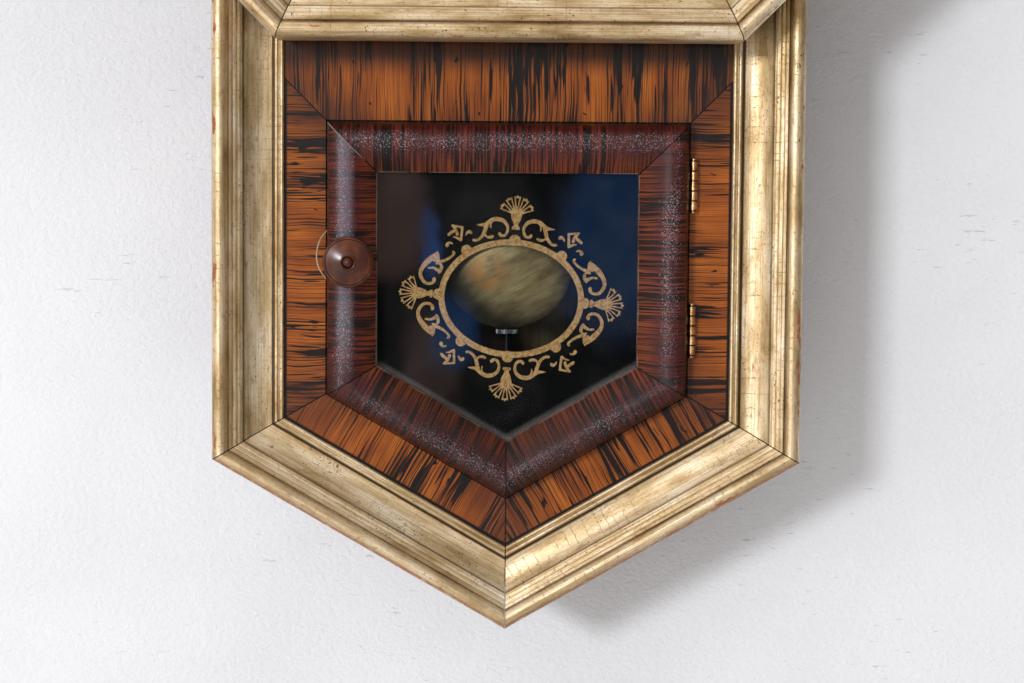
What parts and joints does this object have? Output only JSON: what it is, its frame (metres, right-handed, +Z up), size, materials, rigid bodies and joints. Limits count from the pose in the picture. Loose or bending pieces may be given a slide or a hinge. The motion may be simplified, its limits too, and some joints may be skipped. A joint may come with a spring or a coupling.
{
  "type": "pendulum wall clock",
  "caption": "Octagonal wall clock with a short pendulum drop: gilt mouldings, grained boards, glazed door, dial under a hinged bezel, spring-driven striking movement and coil gong.",
  "frame": {"origin": "middle of the hanging hole, on the wall side of its plate", "axes": "+X to the right seen from the front, +Z up, and the dial faces -Y; the wall is the plane y = 0"},
  "size_m": [0.43, 0.1137, 0.6609],
  "materials": {
    "case_wood": "satin",
    "grained_wood": "gloss",
    "gilding": "satin",
    "door_wood": "gloss",
    "knob_wood": "gloss",
    "painted_glass": "gloss",
    "clear_glass": "gloss",
    "dial_paint": "satin",
    "black_paint": "gloss",
    "brass": "polished",
    "movement_brass": "satin",
    "bob_brass": "brushed",
    "steel": "brushed",
    "blued_steel": "satin",
    "iron": "matte"
  },
  "bodies": {
    "case": {"back_board": "case_wood", "head_case_boards": "case_wood", "drop_case_boards": "case_wood", "octagon_front": "grained_wood", "octagon_gilt_moulding": "gilding", "drop_front_frame": "grained_wood", "drop_gilt_moulding": "gilding", "hanger_plate": "steel", "hanger_screws": "steel", "movement_cleats": "case_wood", "dial_plate": "dial_paint", "dial_nails": "brass", "bezel_hinge_leaf": "brass", "door_hinge_case_leaves": "brass", "door_hinge_pins": "brass", "hinge_case_screws": "brass", "movement_back_plate": "movement_brass", "movement_front_plate": "movement_brass", "movement_pillars": "movement_brass", "movement_screws": "steel", "time_mainspring": "blued_steel", "strike_mainspring": "blued_steel", "escape_cock": "movement_brass", "coil_gong": "blued_steel", "gong_block": "iron"},
    "bezel": {"dial_bezel": "brass", "bezel_glass": "clear_glass", "bezel_glass_ring": "brass"},
    "hour": {"hour_hand": "black_paint", "hour_wheel": "movement_brass"},
    "minute": {"minute_hand": "black_paint", "hand_collet": "brass", "cannon_pinion": "movement_brass"},
    "minute_work": {"minute_wheel": "movement_brass"},
    "door": {"door_frame": "door_wood", "door_tablet": "painted_glass", "tablet_beads": "door_wood", "door_hinge_door_leaves": "brass", "hinge_door_screws": "brass"},
    "latch": {"door_knob": "knob_wood", "latch_tongue": "brass"},
    "time_main": {"time_main_wheel": "movement_brass"},
    "time_winder": {"time_winding_arbor": "steel"},
    "time_pawl": {"time_click": "steel"},
    "strike_main": {"strike_main_wheel": "movement_brass", "count_wheel": "movement_brass"},
    "strike_winder": {"strike_winding_arbor": "steel"},
    "strike_pawl": {"strike_click": "steel"},
    "centre": {"centre_wheel": "movement_brass"},
    "third": {"third_wheel": "movement_brass"},
    "escape": {"escape_wheel": "movement_brass"},
    "verge": {"verge_and_crutch": "steel"},
    "strike_second": {"strike_second_wheel": "movement_brass"},
    "strike_third": {"strike_third_wheel": "movement_brass"},
    "fly": {"strike_fly": "movement_brass"},
    "lever": {"count_lever": "steel"},
    "hammer": {"strike_hammer": "steel"},
    "pendulum": {"pendulum_rod": "movement_brass"},
    "bob": {"pendulum_bob": "bob_brass"},
    "nut": {"rating_nut": "movement_brass"}
  },
  "joints": [
    {"name": "escape_wheel_spin", "type": "hinge", "parent": "case", "child": "escape", "pos_m": [0, -0.05, -0.20053], "axis": [0, 1, 0], "continuous": true},
    {"name": "third_wheel_spin", "type": "hinge", "parent": "case", "child": "third", "pos_m": [0.00402, -0.04, -0.17722], "axis": [0, 1, 0], "continuous": true},
    {"name": "centre_wheel_spin", "type": "hinge", "parent": "case", "child": "centre", "pos_m": [0, -0.04, -0.15], "axis": [0, 1, 0], "continuous": true},
    {"name": "time_main_spin", "type": "hinge", "parent": "case", "child": "time_main", "pos_m": [0.02848, -0.021, -0.15605], "axis": [0, 1, 0], "continuous": true},
    {"name": "fly_spin", "type": "hinge", "parent": "case", "child": "fly", "pos_m": [0.01914, -0.04, -0.11733], "axis": [0, 1, 0], "continuous": true},
    {"name": "strike_third_spin", "type": "hinge", "parent": "case", "child": "strike_third", "pos_m": [0.0034, -0.04, -0.12306], "axis": [0, 1, 0], "continuous": true},
    {"name": "strike_second_spin", "type": "hinge", "parent": "case", "child": "strike_second", "pos_m": [-0.01978, -0.04, -0.12927], "axis": [0, 1, 0], "continuous": true},
    {"name": "strike_main_spin", "type": "hinge", "parent": "case", "child": "strike_main", "pos_m": [-0.02848, -0.021, -0.15605], "axis": [0, 1, 0], "continuous": true},
    {"name": "minute_hand_turn", "type": "hinge", "parent": "case", "child": "minute", "pos_m": [0, -0.09, -0.15], "axis": [0, 1, 0], "continuous": true},
    {"name": "minute_wheel_turn", "type": "hinge", "parent": "case", "child": "minute_work", "pos_m": [-0.01358, -0.06, -0.13642], "axis": [0, 1, 0], "continuous": true},
    {"name": "hour_hand_turn", "type": "hinge", "parent": "case", "child": "hour", "pos_m": [0, -0.09, -0.15], "axis": [0, 1, 0], "continuous": true},
    {"name": "pendulum_swing", "type": "hinge", "parent": "case", "child": "pendulum", "pos_m": [0, -0.069, -0.1791], "axis": [0, 1, 0], "range_deg": [-3.5, 3.5]},
    {"name": "verge_swing", "type": "hinge", "parent": "case", "child": "verge", "pos_m": [0, -0.06, -0.1791], "axis": [0, 1, 0], "range_deg": [-3.5, 3.5]},
    {"name": "rating_nut_turn", "type": "hinge", "parent": "bob", "child": "nut", "pos_m": [0, -0.069, -0.481], "axis": [0, 0, 1], "range_deg": [-1360, 1360]},
    {"name": "bob_slide", "type": "slide", "parent": "pendulum", "child": "bob", "axis": [0, 0, 1], "range_m": [-0.003, 0.003]},
    {"name": "door_swing", "type": "hinge", "parent": "case", "child": "door", "pos_m": [0.0729, -0.082, -0.45], "axis": [0, 0, 1], "range_deg": [0, 100]},
    {"name": "latch_turn", "type": "hinge", "parent": "door", "child": "latch", "pos_m": [-0.062, -0.08, -0.4505], "axis": [0, -1, 0], "range_deg": [0, 90]},
    {"name": "bezel_swing", "type": "hinge", "parent": "case", "child": "bezel", "pos_m": [0.168, -0.1064, -0.15], "axis": [0, 0, 1], "range_deg": [0, 110]},
    {"name": "time_winding", "type": "hinge", "parent": "case", "child": "time_winder", "pos_m": [0.02848, -0.06, -0.15605], "axis": [0, 1, 0], "continuous": true},
    {"name": "strike_winding", "type": "hinge", "parent": "case", "child": "strike_winder", "pos_m": [-0.02848, -0.06, -0.15605], "axis": [0, 1, 0], "continuous": true},
    {"name": "time_click_lift", "type": "hinge", "parent": "time_main", "child": "time_pawl", "pos_m": [0.04098, -0.019, -0.15155], "axis": [0, 1, 0], "range_deg": [0, 12], "stiffness_Nm_per_rad": 0.001, "springref_deg": -17.19},
    {"name": "strike_click_lift", "type": "hinge", "parent": "strike_main", "child": "strike_pawl", "pos_m": [-0.01598, -0.019, -0.15155], "axis": [0, 1, 0], "range_deg": [0, 12], "stiffness_Nm_per_rad": 0.001, "springref_deg": -17.19},
    {"name": "hammer_swing", "type": "hinge", "parent": "case", "child": "hammer", "pos_m": [-0.036, -0.0195, -0.207], "axis": [0, 1, 0], "range_deg": [0, 10]},
    {"name": "count_lever_lift", "type": "hinge", "parent": "case", "child": "lever", "pos_m": [-0.044, -0.023, -0.121], "axis": [0, -1, 0], "range_deg": [0, 8]}
  ],
  "couplings": [
    {"joint": "third_wheel_spin", "follows": "escape_wheel_spin", "ratio": -0.10256},
    {"joint": "centre_wheel_spin", "follows": "escape_wheel_spin", "ratio": 0.010519},
    {"joint": "time_main_spin", "follows": "escape_wheel_spin", "ratio": -0.00087662},
    {"joint": "strike_third_spin", "follows": "fly_spin", "ratio": -0.11667},
    {"joint": "strike_second_spin", "follows": "fly_spin", "ratio": 0.012963},
    {"joint": "strike_main_spin", "follows": "fly_spin", "ratio": -0.0012963},
    {"joint": "minute_wheel_turn", "follows": "minute_hand_turn", "ratio": -0.33333},
    {"joint": "hour_hand_turn", "follows": "minute_hand_turn", "ratio": 0.083333},
    {"joint": "verge_swing", "follows": "pendulum_swing", "ratio": 1},
    {"joint": "rating_nut_turn", "follows": "bob_slide", "rad_per_m": 7854}
  ]
}
